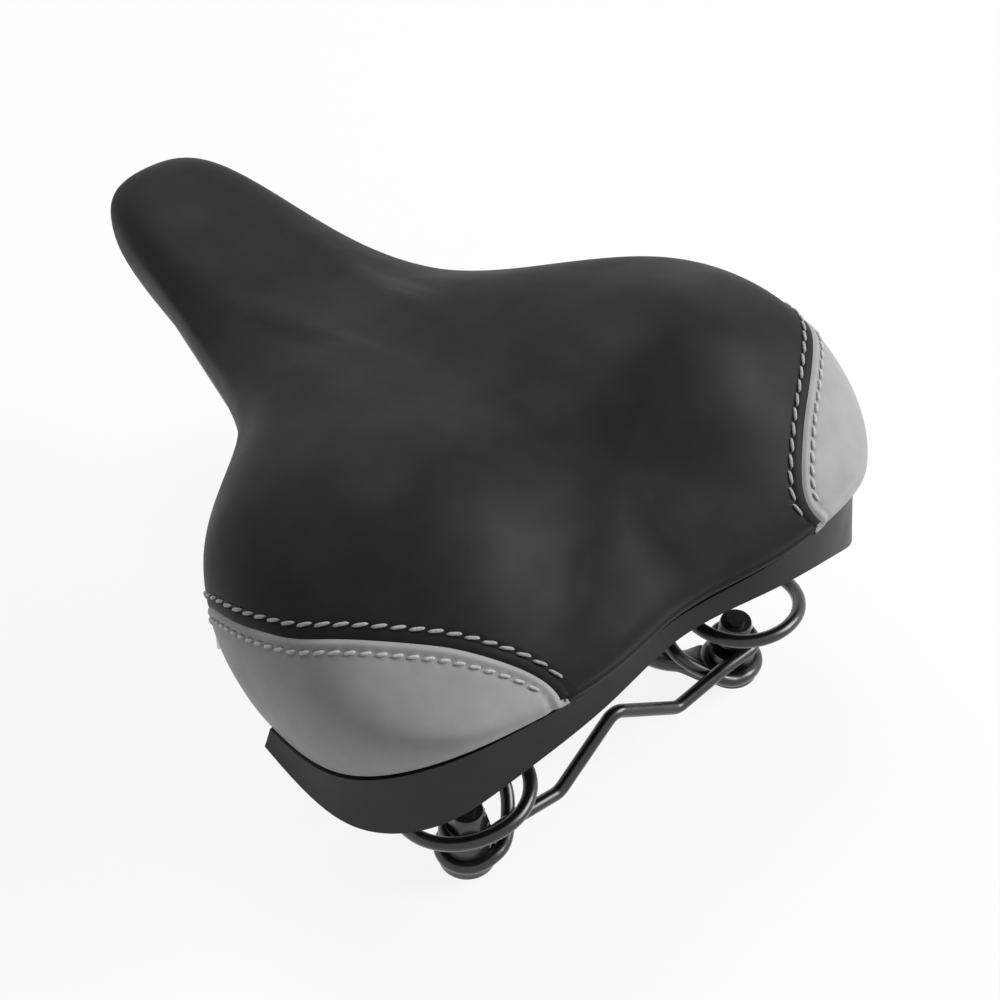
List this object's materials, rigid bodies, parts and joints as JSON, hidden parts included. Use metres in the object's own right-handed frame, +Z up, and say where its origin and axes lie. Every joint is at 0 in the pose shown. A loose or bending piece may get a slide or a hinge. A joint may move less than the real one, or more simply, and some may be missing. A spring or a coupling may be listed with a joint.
{
  "type": "bicycle saddle",
  "caption": "Wide padded bicycle saddle with a long rounded nose, pale rear corner panels, moulded base and skirt, twin-rail steel frame and rear coil springs.",
  "frame": {"origin": "centre of the straight stretch of the two rails that the seat clamp grips, midway between the rails", "axes": "+X forward to the nose, +Y to the rider's left, +Z up"},
  "size_m": [0.264, 0.2004, 0.1346],
  "materials": {
    "black_cover": "satin black leather-look vinyl",
    "grey_panel": "satin light grey leather-look vinyl",
    "piping": "satin black vinyl piping",
    "foam": "moulded foam",
    "base_plastic": "matt black moulded plastic",
    "skirt_plastic": "satin black moulded plastic",
    "staple_steel": "bare steel wire",
    "black_steel": "gloss black enamel",
    "black_wire": "gloss black enamel",
    "black_fastener": "black oxide"
  },
  "bodies": {
    "rail_frame": {"rail_frame": "black_steel", "rear_stay": "black_wire", "left_spring": "black_wire", "right_spring": "black_wire", "spring_locators": "black_fastener", "spring_bolts": "black_fastener", "spring_washers": "black_fastener", "spring_nuts": "black_fastener"},
    "seat": {"cover_main": "black_cover", "left_cover_panel": "grey_panel", "right_cover_panel": "grey_panel", "left_piping": "piping", "right_piping": "piping", "foam_pad": "foam", "base_shell": "base_plastic", "cover_staples": "staple_steel", "rear_skirt": "skirt_plastic", "skirt_screws": "black_fastener", "left_spring_clip": "black_steel", "right_spring_clip": "black_steel", "spring_clip_screws": "black_fastener", "nose_clip": "black_steel", "nose_clip_screws": "black_fastener"}
  },
  "joints": [
    {"name": "suspension", "type": "hinge", "parent": "rail_frame", "child": "seat", "pos_m": [0.12, 0, 0.033], "axis": [0, -1, 0], "range_deg": [0, 4], "stiffness_Nm_per_rad": 1500, "deforming": ["left_spring", "right_spring"]}
  ]
}
